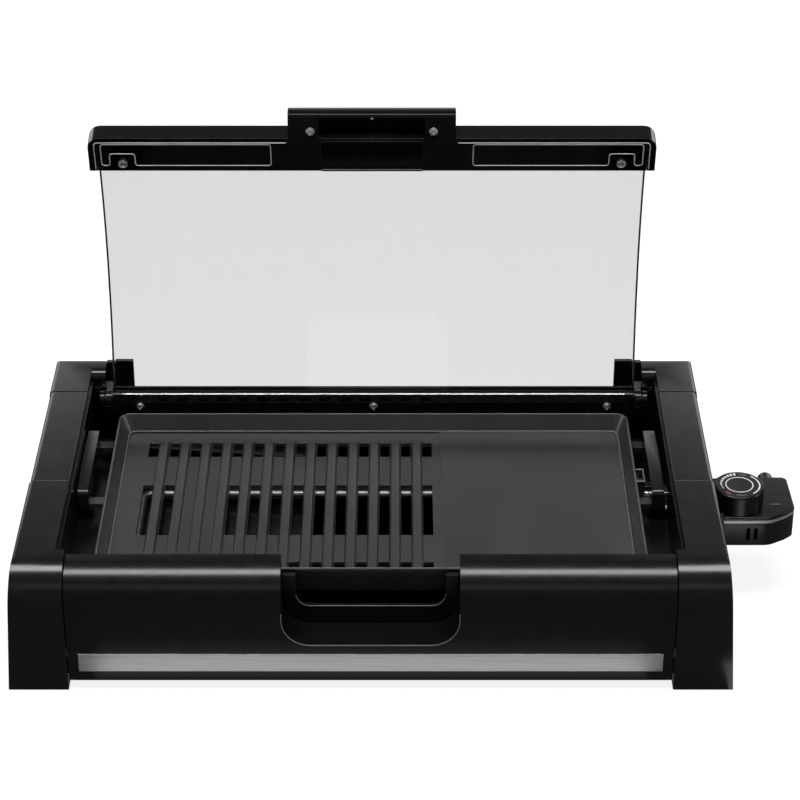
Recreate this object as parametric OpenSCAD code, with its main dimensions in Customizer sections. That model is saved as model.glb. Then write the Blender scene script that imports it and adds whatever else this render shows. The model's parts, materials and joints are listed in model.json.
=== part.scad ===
// Electric indoor grill with a hinged glass lid.
// Working frame: X across, Y from front to back, Z up. Y = 0 is the grill plate's front rim and
// Z = 0 is the worktop. The whole model is then shifted so that its footprint is centred.

/* [Base] */
// How far the side frames stand above the plate's rim
side_rise = 22; // [18:0.5:26]
// Width of a side frame's top surface
side_top_w = 32; // [28:1:45]
// How far a side frame's outer face leans out towards the foot
side_draft = 7; // [0:0.5:12]
// Distance from the front of the legs to the plate's front rim
front_overhang = 41; // [36:1:60]
// Distance from the plate's rear rim to the back of the base
rear_overhang = 53; // [50:1:70]
// Width of a front leg's face at the foot
leg_w = 46.5; // [42:0.5:60]
// Radius of the rolled top front corner of the legs
leg_roll = 30; // [15:1:34]
// Length of a side frame's front section, at its top seam
front_section_len = 131.6; // [120:1:140]
// Length of a side frame's middle section, which is the carry grip
grip_len = 139; // [120:1:145]
// Width of the seam between two sections
seam = 0.6; // [0.4:0.1:1.5]
// Wall of the moulded housings
wall = 2.5; // [2:0.1:3.5]
// Height of the foot at the bottom of each leg
foot_rise = 1; // [0.5:0.1:2]
// Ground clearance under the middle of the base
belly_z = 7.6; // [7:0.1:12]
// Height of the open arch below each carry grip
arch_z = 44; // [30:1:50]

/* [Front panel] */
// How far the front panel's top edge is below the side frames' top
panel_drop = 4; // [2:0.5:8]
// How far the panel's face is set back from the legs
panel_setback = 2.5; // [1:0.5:6]
// Radius of the panel's rolled top edge
panel_roll = 26; // [15:1:28]
// Gap between the panel's back edge and the plate's front rim
panel_gap = 6; // [5:0.5:10]
// Height of the bottom of the metal trim strip
strip_z = 17; // [15:1:22]
// Height of the metal trim strip itself
strip_h = 16.5; // [10:0.5:20]
// Thickness of the metal trim strip
strip_t = 1; // [0.6:0.1:1.6]
// Gap between each end of the trim strip and the leg
strip_end_gap = 8; // [4:1:20]
// Width of the grip recess
recess_w = 136.4; // [120:0.5:160]
// Radius of the recess's lower corners
recess_r = 22; // [16:1:24]

/* [Grill plate] */
// Outer width of the plate's rim
plate_w = 430; // [400:1:460]
// Outer depth of the plate's rim
plate_d = 231; // [220:1:250]
// Height of the rim above the worktop
rim_z = 86; // [84:0.5:90]
// Height of the plate's inner wall
bowl_h = 14; // [8:0.5:15]
// How far the inner wall leans in
bowl_run = 6; // [3:0.5:8]
// How far the rear inner wall leans in
rear_run = 6; // [4:0.5:9]
// Width of the rim's top lip
rim_lip = 2; // [2:0.5:4]
// Thickness of the plate's floor
floor_t = 4; // [3:0.5:5]
// Depth of the outer skirt below the floor's underside
skirt_h = 5; // [3:0.5:6]
// Outer corner radius of the rim
plate_r = 10; // [6:1:16]
// Number of ribs
rib_count = 13; // [8:1:14]
// Distance from one rib to the next
rib_pitch = 17.6; // [15:0.1:18.2]
// Width of a rib at its foot
rib_w = 9; // [7:0.5:10]
// Width of a rib at its top
rib_top_w = 6.4; // [4:0.2:6.8]
// Height of a rib above the plate's floor
rib_h = 4; // [2:0.5:6]
// Distance from the left wall's rim to the first rib's centre
rib_start = 40; // [34:1:44]
// Width of a drain slot
slot_w = 8; // [5:0.5:8.4]
// Height of the step up to the flat half
flat_step = 0.8; // [0.4:0.1:2]

/* [Plate handles] */
// Clear space between the plate's rim and the side wall, where the handles hang
side_gap = 26; // [24:0.5:36]
// Width of a handle bar
handle_w = 9.4; // [7:0.1:9.6]
// Length of a handle bar
handle_len = 97.5; // [80:0.5:110]
// Height of a handle bar
handle_h = 17; // [12:0.5:17]
// Space for fingers between the rim and the left bar
finger_gap = 14.3; // [12:0.1:14.4]
// Space for fingers between the rim and the right bar
right_finger_gap = 11; // [10:0.5:12.5]
// Distance from the plate's front rim to the middle of the handles
handle_y = 156.3; // [150:0.1:160]

/* [Heating element] */
// Diameter of the heating tube
tube_d = 8; // [6:0.2:8.2]
// Distance from the front rim to the middle run of the tube
tube_y = 139; // [136:0.5:140]
// Distance from the front rim to the first terminal pin
pin_y = 131; // [128:1:133]
// Distance from the front rim to the front run of the tube
tube_front_y = 49; // [36:1:60]
// Distance between the two terminal pins
pin_pitch = 18; // [17:0.5:22]
// Diameter of a terminal pin
pin_d = 4; // [3:0.2:5]

/* [Drip tray] */
// Gap between each side of the tray and the recess
tray_side_gap = 4.2; // [4:0.1:6]
// Gap between the tray's walls and the drip guide above them
tray_gap = 1.2; // [0.8:0.1:2]
// Depth of the tray's walls
tray_h = 9; // [8:0.5:12]
// Thickness of the tray's sheet
tray_t = 1; // [0.6:0.1:1.5]
// Clearance between the tray's front and the recess
tray_fit = 0.8; // [0.5:0.1:2]
// How far the tray grip's posts stay below the plate's rim
post_drop = 0.4; // [0:0.2:4]
// Width of a post beside the finger opening
post_w = 9.6; // [8:0.2:20]
// Height of the finger opening's lower edge above the tray's walls
window_rise = 5; // [1:0.1:7]
// Radius of the finger opening's lower corners
window_r = 11; // [6:1:16]
// Thickness of the tray's front
tray_front_t = 4; // [3:0.5:5]

/* [Lid] */
// Angle that the lid stands open
lid_open = 90; // [80:1:94]
// Distance from the plate's rear rim back to the hinge axis
hinge_back = 12; // [11:0.5:16]
// Height of the hinge axis above the plate's rim
hinge_up = 7; // [6:0.5:12]
// How far the glass reaches past the plate's rim at each side
glass_overlap = 6; // [2:0.5:7]
// Thickness of the glass
glass_t = 4; // [3:0.5:5]
// Radius of the glass's curve
glass_r = 420; // [380:5:600]
// How far the front bar reaches past the glass at each side
bar_overhang = 7.5; // [5:0.5:8.5]
// How far the closed front bar stays in front of the panel's back edge
bar_front_gap = 1; // [0.5:0.1:2]
// Length of the front bar's sloping underside
strip_len = 33; // [24:1:33]
// Slope of the front bar's underside
strip_slope = 13; // [8:1:15]
// Thickness of the front bar
bar_t = 17; // [14:1:20]
// Gap between each end of the lid handle and the grip recess
lid_handle_gap = 1; // [0.8:0.1:8]
// Length of the lid handle, front to back
lid_handle_len = 27; // [24:1:29]
// Width of the lid handle's inner grip
lid_grip_w = 82; // [60:1:90]
// Diameter of the hinge pins
hinge_pin_d = 6; // [5:0.5:7]

/* [Control] */
// How far the control's top face is below the plate's rim
control_drop = 6; // [4:0.5:8]
// Height of the control's housing
control_h = 26.5; // [25:0.5:28]
// Length of the control's housing, away from the base
control_len = 58; // [54:1:70]
// Depth of the control's housing, front to back
control_d = 60; // [56:1:70]
// Gap between the side frame's foot line and the control
control_gap = 1.5; // [1:0.5:6]
// Diameter of the knob
knob_d = 40; // [34:1:42]
// Height of the knob
knob_h = 17.6; // [12:0.2:20]
// Diameter of the knob's shaft
knob_shaft_d = 6; // [5:0.5:8]
// Diameter of the temperature sensor rod
sensor_d = 5; // [4:0.5:6]
// Reach of the sensor rod beyond the control's plug
sensor_len = 137; // [100:1:140]
// Diameter of the hole for the cord
cord_hole_d = 7.2; // [6:0.1:8]

/* [Fits] */
// Radial clearance of a pin that turns in its bore
running_fit = 0.05; // [0.02:0.01:0.1]
// Clearance between parts that only sit beside each other
loose_fit = 0.5; // [0.3:0.1:1]

/* [Hidden] */
$fn = 48;
tiny = 0.01;
over = 1;

// Colours
black_plastic = [0.07, 0.07, 0.07];
dark_plastic = [0.12, 0.12, 0.12];
coating = [0.25, 0.25, 0.26];
steel = [0.75, 0.75, 0.76];
enamel = [0.1, 0.1, 0.11];
rubber_black = [0.05, 0.05, 0.05];
glass_tint = [0.8, 0.85, 0.85, 0.4];
ceramic_white = [0.85, 0.83, 0.78];
seal_grey = [0.2, 0.2, 0.2];

// Base, from the plate outwards
side_h = rim_z + side_rise;
front_y = -front_overhang;
rear_y = plate_d + rear_overhang;
basin_x = plate_w / 2 + side_gap;
side_top_x = basin_x + side_top_w;
side_foot_x = side_top_x + side_draft;
leg_face_x = side_foot_x - leg_w;
leg_face_lean = 3;
seam_front_y = front_y + front_section_len;
grip_y0 = seam_front_y + seam;
grip_y1 = grip_y0 + grip_len - seam;
housing_y0 = grip_y1 + seam;
top_round = 4;
grip_inset = 0.8;
leg_foot_len = 68;
tab_reach = 20;
tab_t = 4;
cover_screw_d = 3.2;
underside_step = 13;
flange_h = 8;

// Front panel
panel_h = side_h - panel_drop;
panel_lug = [90, 70];
panel_y = front_y + panel_setback;
panel_back_y = -panel_gap;
panel_x = leg_face_x - 0.6;
recess_x = recess_w / 2;
recess_wall = 2;

// Basin
sheet = 1.5;
basin_front_y = panel_back_y;
basin_floor_z = belly_z + 6.4;
basin_top_z = side_h - flange_h;
basin_r = 10;
post_back = 19;
hinge_y = plate_d + hinge_back;
hinge_z = rim_z + hinge_up;
basin_back_y = hinge_y + post_back;
rear_top_z = rim_z - 8;
ledge_w = 5;

// Plate
floor_z = rim_z - bowl_h;
under_z = floor_z - floor_t;
skirt_z = under_z - skirt_h;
skirt_lean = 4;
skirt_wall = 3;
bowl_x = plate_w / 2 - rim_lip - bowl_run;
bowl_y1 = plate_d - rim_lip - rear_run;
rib_x0 = -plate_w / 2 + rib_start;
rib_front = 9;
rib_end_y = 207;
rib_ramp = 9;
flat_x = rib_x0 + (rib_count - 1) * rib_pitch + 19.7;
slot_front = [14.3, 29.8];
slot_middle = [67.3, 140.3];
slot_rear = [183.8, 205.3];
closed_grooves = [2, 3];

// Heating element, run below the floor
tube_r = tube_d / 2;
tube_z = under_z - tube_r - 0.2;
tube_left_x = -plate_w / 2 + 27;
tube_right_x = plate_w / 2 - 16.5;
tube_bend = 10;
tube_end_x = plate_w / 2 - 11;
plug_reach = 21;
sensor_tip_x = basin_x + plug_reach - sensor_len;
jog_gap = 15.1;
jog_x1 = sensor_tip_x - jog_gap;
jog_r = 12;
corner_r = 5;
pin_a_y = pin_y;
pin_b_y = pin_y + pin_pitch;
jog_turn = 40;
jog_run = (pin_b_y - tube_y - 2 * jog_r * (1 - cos(jog_turn))) / sin(jog_turn);
jog_x0 = jog_x1 - 2 * jog_r * sin(jog_turn) - jog_run * cos(jog_turn);
bend_swell = 0.1;
bend_grip = 0.5;
socket_y = pin_y + pin_pitch / 2;
pin_tip_x = plate_w / 2 + 15;
shroud_x1 = plate_w / 2 + 7.5;
insulator_x1 = plate_w / 2 - 0.5;
insulator_w = pin_pitch + 12;
clip_x = [rib_x0 + 2 * rib_pitch, rib_x0 + 8 * rib_pitch, jog_x1 + 40];
clip_w = 7;
clip_t = 1.2;

// Plate handles
handle_x0 = plate_w / 2 + finger_gap;
handle_top_z = rim_z + 1;
handle_bottom_z = handle_top_z - handle_h;
handle_bow = 1;
handle_round = 5;
handle_skew = 2.5;
lug_w = 10;
lug_h = 4.5;
lug_reach = handle_len / 2 - 5.8;
handle_screw_d = 2.6;
handle_screw_head_d = 4.2;
right_handle_x0 = plate_w / 2 + right_finger_gap;
right_handle_w = handle_w + 0.6;

// Drip guide, which leads fat into the tray
guide_top_z = skirt_z - 4;
guide_t = 1;
guide_flat_x = plate_w / 2 - 15;
tray_w = recess_w - 2 * tray_side_gap;
guide_inner_x = tray_w / 2 - 6;
guide_inner_z = skirt_z - 9.8;
pad_w = 12;
pad_len = 20;

// Tray
tray_z = guide_inner_z - tray_gap - tray_h;
recess_z = tray_z - 1.5;
tray_r = recess_r - 4;
rivet_x = tray_w / 2 - 20;
post_top_z = rim_z - post_drop;
window_w = recess_w - 2 * tray_fit - 2 * post_w;
window_z = tray_z + tray_h + window_rise;
tray_front_y = -4;
tray_len = plate_d - 5;
rail_t = 5;
rail_gap = 0;
rail_ledge = 24;
rivet_d = 4;

// Lid, drawn closed around its hinge axis: y runs back, z up
glass_w = plate_w + 2 * glass_overlap;
bar_w = glass_w + 2 * bar_overhang;
bar_front_y = -(hinge_y + panel_gap - bar_front_gap);
strip_y1 = bar_front_y + bar_t * sin(strip_slope);
strip_y0 = strip_y1 + strip_len * cos(strip_slope);
glass_back = -7;
glass_front = strip_y0 + 0.5;
glass_rear_z = 4;
glass_front_z = 8;
glass_grip = 8;
front_grip = 4;
rear_bar_w = glass_w + 2;
rear_bar = [-6.4, 11.5];
rear_bar_z = [-3, 11];
split_z = 4;
seal_t = 0.5;
lid_stop_gap = 0.1;
strip_z0 = glass_front_z - 3;
strip_z1 = strip_z0 - strip_len * sin(strip_slope);
bar_wall = 2.5;
bar_rim = [6.5, 3.7];
bar_r = 10;
bar_lip = 10;
strip_thick = 2;
lid_handle_w = recess_w - 2 * lid_handle_gap;
lid_handle_y1 = bar_front_y - 0.6;
lid_handle_y0 = strip_y1 + 5.5 - lid_handle_len;
lid_handle_z = [-5.8, -2.2, 13.5];
lid_handle_r = 4.5;
lid_arm_y = strip_y1 + 4.5;
pocket_w = lid_grip_w + 3;
pocket_wall = 3.4;
lid_grip_y = [strip_y0 - 0.8, -hinge_y];
lid_rest_gap = 0.1;
lid_grip_low = -hinge_up + lid_rest_gap;
lid_screw_x = glass_w / 2 - 22.5;
clamp_screw_y = 5.5;
clamp_screw_len = 8;
bracket_hole_len = 12;
lid_reach = 150;
strip_reach = 40;
screw_head_d = 7.6;
arm_t = 5;
arm_r = 8;
rear_bar_r = 1.8;
bracket_t = 4;
bracket_x0 = rear_bar_w / 2 + arm_t + 1.2;
bracket_x1 = bracket_x0 + bracket_t;
bracket_r = 7;
bracket_z = [-7, 1];
stop_y = [-6, -2];
arm_foot_t = 1.8;

// Control
control_top_z = rim_z - control_drop;
control_x0 = side_foot_x + control_gap;
control_x1 = control_x0 + control_len;
control_y1 = socket_y;
control_y0 = control_y1 - control_d;
control_z0 = control_top_z - control_h;
knob_x = control_x0 + knob_d / 2 - 7;
knob_y = control_y0 + knob_d / 2 + 0.7;
knob_z0 = control_top_z + 0.4;
band_z0 = control_top_z - 5.8;
band_t = 2.6;
plug_x0 = basin_x + plug_reach;
sensor_cone = 2;
plug_grip = 8;
control_screw_in = [8, 8, 10, 12];
control_screw_len = 6;
plug_x1 = plug_x0 + 11.5;
plug_w = pin_pitch + 18;
plug_z0 = control_z0 + 2.5;
plug_z1 = control_top_z - 1;
leaf_t = 0.8;
leaf_gap = 0.1;
leaf_x0 = plate_w / 2 + 4;
leaf_z = [tube_z - 5, tube_z + 4];
port_margin = 2;
gland_offset = 41;
gland_x = control_x0 + gland_offset;
gland_z = control_top_z - 7.5;
gland_d = 12;
gland_len = 12;
control_wall = 2;
vent_x = [control_x0 + 20, control_x0 + 26];
vent_w = 3;
vent_z = [control_z0 + 5, control_z0 + 15];

// The footprint's centre goes to the origin
centre_x = (control_x1 - side_foot_x) / 2;
centre_y = (front_y + rear_y) / 2;

function arc_points(cx, cy, r, a0, a1, n) =
    [for (i = [0 : n]) let (a = a0 + (a1 - a0) * i / n) [cx + r * cos(a), cy + r * sin(a)]];

module placed() { translate([-centre_x, -centre_y, 0]) children(); }
module handed(side) { if (side < 0) mirror([1, 0, 0]) children(); else children(); }
// Extrudes a (y, z) outline along X
module along_x(x0, x1) { translate([x0, 0, 0]) rotate([90, 0, 90]) linear_extrude(x1 - x0) children(); }
// Extrudes an (x, z) outline along Y
module along_y(y0, y1) { translate([0, y1, 0]) rotate([90, 0, 0]) linear_extrude(y1 - y0) children(); }
module box(x, y, z) { translate([x[0], y[0], z[0]]) cube([x[1] - x[0], y[1] - y[0], z[1] - z[0]]); }
module rod_x(x0, x1, y, z, d) { translate([x0, y, z]) rotate([0, 90, 0]) cylinder(d = d, h = x1 - x0); }
module rod_y(x, y0, y1, z, d) { translate([x, y1, z]) rotate([90, 0, 0]) cylinder(d = d, h = y1 - y0); }
// A slab with rounded corners, from corner to corner
module rounded_slab(x, y, z, r) {
    for (cx = [x[0] + r, x[1] - r], cy = [y[0] + r, y[1] - r])
        translate([cx, cy, z[0]]) cylinder(r = r, h = z[1] - z[0], $fn = 32);
}
// A pan-head screw standing on the XY plane, head up, shank down
module pan_screw(head_d, shank_d, length) {
    difference() {
        union() {
            cylinder(d = head_d, h = 1.6);
            translate([0, 0, 1.6]) cylinder(d1 = head_d, d2 = head_d * 0.6, h = 1);
            translate([0, 0, -length]) cylinder(d = shank_d, h = length + tiny);
        }
        for (turn = [0, 90])
            rotate([0, 0, turn]) translate([-head_d * 0.28, -0.5, 1.3]) cube([head_d * 0.56, 1, 2]);
    }
}

// Outline of a side frame from the front: leaning outer face with a rounded top edge
module side_front_outline(inset, x0) {
    lean = side_draft / side_h;
    top = side_h - inset;
    r = top_round;
    polygon(concat(
        [[x0 + inset, foot_rise + inset], [side_foot_x - inset, foot_rise + inset]],
        arc_points(side_top_x - inset + r * lean - r, top - r, r, 0, 90, 8),
        [[x0 + inset, top]]));
}
// Outline of the front section from the side, with its rolled front corner
module leg_side_outline(inset, y1) {
    r = leg_roll - inset;
    y0 = front_y + inset;
    top = side_h - inset;
    polygon(concat(
        [[y1, foot_rise + inset], [y1, top]],
        arc_points(y0 + r, top - r, r, 90, 180, 16),
        [[y0, foot_rise + inset]]));
}
module leg_block(inset, x0, y1) {
    intersection() {
        along_x(x0, side_foot_x + over) leg_side_outline(inset, y1);
        along_y(front_y, seam_front_y + over) side_front_outline(inset, x0 - inset);
    }
}
module front_leg() {
    inner_y = panel_back_y;
    difference() {
        union() {
            leg_block(0, leg_face_x, inner_y);
            leg_block(0, basin_x, seam_front_y);
        }
        difference() {
            union() {
                leg_block(wall, leg_face_x + wall, inner_y - wall);
                leg_block(wall, basin_x + wall, seam_front_y + over);
            }
            box([basin_x, basin_x + 2 * wall], [inner_y - wall, inner_y], [0, side_h]);
        }
        // The leg's inner side opens below the flange so that the basin can sit there
        box([basin_x - over, basin_x + wall + tiny], [inner_y, seam_front_y + over],
            [foot_rise - over, basin_top_z]);
        // Raised underside behind the foot
        box([basin_x - over, side_foot_x + over],
            [front_y + leg_foot_len, seam_front_y + over], [0, underside_step]);
    }
    // Screw tab that the bottom cover is fixed to
    difference() {
        box([leg_face_x - tab_reach, leg_face_x + wall], [front_y + 12, front_y + 28],
            [belly_z, belly_z + tab_t]);
        tab_hole(0);
    }
}
// Hole in a screw tab: 0 at the leg, 1 at the hinge housing
module tab_hole(i) {
    translate([tab_screws[i][0], tab_screws[i][1], belly_z - over])
        cylinder(d = cover_screw_d + 0.04, h = tab_t + 2 * over);
}
module left_front_leg() { color(black_plastic) handed(-1) front_leg(); }
module right_front_leg() { color(black_plastic) front_leg(); }

// Middle section: a hollow cover over an open arch, the carry grip
module grip_outline(inset) {
    lean = side_draft / side_h;
    top = side_h - inset;
    r = top_round;
    x_out = side_top_x - grip_inset - inset;
    polygon(concat(
        [[basin_x + inset, arch_z - inset], [x_out + (side_h - arch_z) * lean, arch_z - inset]],
        arc_points(x_out + r * lean - r, top - r, r, 0, 90, 8),
        [[basin_x + inset, top]]));
}
module carry_grip(has_port) {
    difference() {
        along_y(grip_y0, grip_y1) grip_outline(0);
        along_y(grip_y0 - over, grip_y1 + over) grip_outline(wall);
        box([basin_x - over, basin_x + wall + tiny], [grip_y0 - over, grip_y1 + over],
            [arch_z - over, basin_top_z]);
        if (has_port) plug_port(basin_x + wall, side_foot_x + over);
    }
    // Stiffening ribs under the top, one near each end
    for (y = [grip_y0 + 12, grip_y1 - 14])
        box([basin_x + wall - tiny, side_top_x - wall], [y, y + 2],
            [basin_top_z, side_h - wall + tiny]);
}
module plug_port(x0, x1) {
    box([x0, x1], [socket_y - plug_w / 2 - port_margin, socket_y + plug_w / 2 + port_margin],
        [plug_z0 - port_margin, plug_z1 + port_margin]);
}
module left_carry_grip() { color(black_plastic) handed(-1) carry_grip(false); }
module right_carry_grip() { color(black_plastic) carry_grip(true); }

// Rear section: housing beside the hinge, with a wider part behind it
housing_x = basin_x - 11.5;
post_y = basin_back_y;
post_round = 8;
rear_wall_x = [glass_w / 2 - 14, glass_w / 2 + 1];
module housing_side_outline(inset, y0) {
    polygon([[y0 + inset, foot_rise + inset], [rear_y - inset, foot_rise + inset],
        [rear_y - inset, side_h - inset - 3], [rear_y - inset - 3, side_h - inset],
        [y0 + inset, side_h - inset]]);
}
module post_side_outline(inset) {
    y0 = post_y + inset;
    top = side_h - inset;
    r = post_round - inset;
    polygon(concat(
        [[rear_y - inset, foot_rise + inset], [rear_y - inset, top - 3], [rear_y - inset - 3, top]],
        arc_points(y0 + r, top - r, r, 90, 180, 10),
        [[y0, foot_rise + inset]]));
}
module housing_block(inset) {
    intersection() {
        along_x(basin_x, side_foot_x + over) housing_side_outline(inset, housing_y0 - inset);
        along_y(housing_y0, rear_y) side_front_outline(inset, basin_x);
    }
}
module hinge_housing() {
    difference() {
        union() {
            housing_block(0);
            along_x(housing_x, basin_x + over) post_side_outline(0);
        }
        difference() {
            union() {
                housing_block(wall);
                along_x(housing_x + wall, basin_x + wall + over) post_side_outline(wall);
                box([basin_x + wall, side_top_x - wall], [housing_y0 - over, housing_y0 + wall],
                    [foot_rise + wall, side_h - wall]);
            }
            // Wall between the basin and the hollow of the post
            box([housing_x, basin_x + wall], [post_y, post_y + wall], [0, side_h]);
        }
        box([basin_x - over, basin_x + wall + tiny], [housing_y0 - over, post_y],
            [foot_rise - over, basin_top_z]);
        box([basin_x - over, side_foot_x + over],
            [housing_y0 - over, rear_y - leg_foot_len / 2], [0, underside_step]);
    }
    // Screw tab for the bottom cover
    difference() {
        box([housing_x - 11, housing_x + wall], [rear_y - 14, rear_y - 3 - tiny],
            [belly_z, belly_z + tab_t]);
        tab_hole(1);
    }
    // Upright wall behind the lid's edge
    box([rear_wall_x[1] - tiny, housing_x + tiny], [rear_y - 4, rear_y], [rear_top_z + 2, side_h - 0.5]);
    box(rear_wall_x, [rear_y - 4, rear_y], [rear_top_z + 2, side_h + 1]);
    box(rear_wall_x, [rear_y - 5, rear_y - 4 + tiny], [rear_top_z + 2, side_h - 3]);
}
module left_hinge_housing() { color(black_plastic) handed(-1) hinge_housing(); }
module right_hinge_housing() { color(black_plastic) hinge_housing(); }

// Front panel: hollow shell with a rolled top and a U-shaped grip recess
module panel_outline(inset) {
    r = panel_roll - inset;
    top = panel_h - inset;
    y0 = panel_y + inset;
    polygon(concat(
        [[panel_back_y - inset, belly_z - (inset > 0 ? over : 0)], [panel_back_y - inset, top]],
        arc_points(y0 + r, top - r, r, 90, 180, 16),
        [[y0, belly_z + 1.5], [y0 + 1, belly_z - (inset > 0 ? over : 0)]]));
}
module recess_outline(inset) {
    x = recess_x + inset;
    z = recess_z - inset;
    r = recess_r + inset;
    polygon(concat(
        arc_points(x - r, z + r, r, 0, -90, 10),
        arc_points(-x + r, z + r, r, -90, -180, 10),
        [[-x, side_h + over], [x, side_h + over]]));
}
module front_panel() {
    color(black_plastic) difference() {
        union() {
            difference() {
                along_x(-panel_x, panel_x) panel_outline(0);
                along_x(-panel_x - over, panel_x + over) panel_outline(wall);
            }
            intersection() {
                along_x(-panel_x, panel_x) panel_outline(0);
                along_y(front_y, panel_back_y) recess_outline(recess_wall);
            }
        }
        along_y(front_y - over, panel_back_y + over) recess_outline(0);
        // Back wall kept only as a flange above the basin's front wall
        box([-panel_x - over, panel_x + over], [panel_back_y - wall - tiny, panel_back_y + over],
            [belly_z - over, recess_z - recess_wall - 4]);
        // Seat for the trim strip
        strip_space(0);
        for (side = [-1, 1])
            handed(side) box([leg_face_x - tab_reach - 1, panel_x + over],
                [front_y + 11, front_y + 29], [belly_z - over, belly_z + tab_t + tiny]);
    }
    // Lugs that stand on the bottom cover
    color(black_plastic) for (side = [-1, 1])
        handed(side) box([leg_face_x - panel_lug[0], leg_face_x - panel_lug[1]],
            [panel_y + wall + 0.5, panel_back_y - 6], [belly_z, belly_z + 4]);
}
module strip_space(gap) {
    box([-panel_x + strip_end_gap + gap, panel_x - strip_end_gap - gap],
        [panel_y - over, panel_y + strip_t], [strip_z + gap, strip_z + strip_h - gap]);
}
module front_trim_strip() {
    color(steel) intersection() {
        strip_space(0.1);
        box([-panel_x, panel_x], [panel_y - 0.4, panel_y + strip_t], [0, side_h]);
    }
}

// Back wall of the base, with a shelf that closes the top behind the basin
module rear_panel() {
    x = housing_x - 0.2;
    color(black_plastic) difference() {
        union() {
            box([-x, x], [rear_y - 3, rear_y], [belly_z, rear_top_z + 2]);
            box([-x, x], [post_y - sheet, rear_y - 3 + tiny], [rear_top_z, rear_top_z + 2]);
        }
        for (i = [-6 : 6])
            box([i * 24 - 8, i * 24 + 8], [rear_y - 5, rear_y + over], [belly_z + 24, belly_z + 28]);
        for (side = [-1, 1])
            handed(side) box([housing_x - 12, housing_x], [rear_y - 15, rear_y - 3],
                [belly_z - over, belly_z + 4 + tiny]);
    }
}

module bottom_cover() {
    x = min(leg_face_x, housing_x) - 0.8;
    y0 = panel_y + 4;
    y1 = rear_y - 0.4;
    screw_at = cover_screw_points();
    color(dark_plastic) {
        for (side = [-1, 1], y = [20, post_y - 30])
            translate([side * (guide_flat_x - 15), y, belly_z - tiny])
                cylinder(d = 10, h = basin_floor_z - belly_z + tiny);
        difference() {
        box([-x, x], [y0, y1], [belly_z - wall, belly_z]);
        for (row = [0 : 3], i = [-7 : 7])
            box([i * 26 - 9, i * 26 + 9], [60 + row * 34, 64 + row * 34],
                [belly_z - wall - over, belly_z + over]);
        for (p = screw_at)
            translate([p[0], p[1], belly_z - wall - over]) cylinder(d = 3.4, h = wall + 2 * over);
        }
    }
}
tab_screws = [[leg_face_x - tab_reach + 6, front_y + 20], [housing_x - 6, rear_y - 8.5]];
function cover_screw_points() = [for (side = [-1, 1], p = tab_screws) [side * p[0], p[1]]];
module cover_screws() {
    color(steel) for (p = cover_screw_points())
        translate([p[0], p[1], belly_z - wall]) mirror([0, 0, 1]) pan_screw(6.4, cover_screw_d, wall + 3);
}
module foot_pads() {
    color(rubber_black) for (side = [-1, 1]) handed(side) {
        box([leg_face_x + 7, side_foot_x - 9], [front_y + 6, front_y + 30], [0, foot_rise]);
        box([basin_x + 5, side_foot_x - 9], [rear_y - 28, rear_y - 6], [0, foot_rise]);
    }
}

// Steel basin that the plate hangs in
module basin_plan(inset) {
    x = basin_x - inset;
    y0 = basin_front_y + inset;
    y1 = post_y - inset;
    r = basin_r - inset;
    polygon(concat(
        arc_points(x - r, y0 + r, r, -90, 0, 8),
        [[x, y1], [-x, y1]],
        arc_points(-x + r, y0 + r, r, 180, 270, 8)));
}
module basin() {
    color(enamel) difference() {
        union() {
            difference() {
                translate([0, 0, basin_floor_z]) linear_extrude(basin_top_z - basin_floor_z)
                    basin_plan(0);
                translate([0, 0, basin_floor_z + sheet]) linear_extrude(side_h) basin_plan(sheet);
            }
            for (side = [-1, 1])
                handed(side) box([basin_x - sheet - ledge_w, basin_x - sheet + tiny],
                    [basin_front_y + basin_r, post_y - 20], [guide_top_z - guide_t - sheet,
                    guide_top_z - guide_t]);
            // Flange that carries the side frames
            for (side = [-1, 1])
                handed(side) box([basin_x - tiny, basin_x + wall + 6],
                    [basin_front_y + basin_r, post_y - 3], [basin_top_z - sheet, basin_top_z]);
        }
        // Mouth for the tray
        box([-recess_x - recess_wall, recess_x + recess_wall],
            [basin_front_y - over, basin_front_y + basin_r + over], [recess_z - recess_wall, side_h]);
        // Low back wall
        box([-basin_x - over, basin_x + over], [post_y - sheet - tiny, post_y + over],
            [rear_top_z, side_h]);
        plug_port(basin_x - 8, basin_x + over);
        tab_space();
    }
}
module tab_space() {
    for (side = [-1, 1])
        handed(side) box([housing_x - 12, basin_x + over], [rear_y - 15, rear_y],
            [belly_z - over, belly_z + 4 + tiny]);
}
module guide_outline() {
    x_end = basin_x - sheet - 0.2;
    polygon([[guide_inner_x, guide_inner_z], [guide_flat_x, guide_top_z - guide_t],
        [x_end, guide_top_z - guide_t], [x_end, guide_top_z], [guide_flat_x, guide_top_z],
        [guide_inner_x, guide_inner_z + guide_t]]);
}
module drip_guide() {
    y1 = plate_d + 2;
    color(enamel) {
        for (side = [-1, 1]) handed(side) along_y(basin_front_y + basin_r + 1, y1) guide_outline();
        // Strap that joins the two halves behind the tray
        box([-guide_inner_x - 2, guide_inner_x + 2], [tray_len + 1, y1],
            [guide_inner_z, guide_inner_z + guide_t]);
    }
}
module plate_pads() {
    color(rubber_black) for (side = [-1, 1], y = [14, plate_d - 14 - pad_len])
        handed(side) box([plate_w / 2 - skirt_lean - 4, plate_w / 2 - skirt_lean - 4 + pad_w],
            [y, y + pad_len], [guide_top_z, skirt_z]);
}
module tray_rail() {
    x = tray_w / 2 + rail_gap;
    color(steel) {
        box([x, x + rail_t], [2, tray_len], [basin_floor_z + sheet, guide_inner_z]);
        box([x - rail_ledge, x + tiny], [2, tray_len], [tray_z - sheet - tiny, tray_z - 0.1]);
    }
}
module left_tray_rail() { handed(-1) tray_rail(); }
module right_tray_rail() { tray_rail(); }

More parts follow.
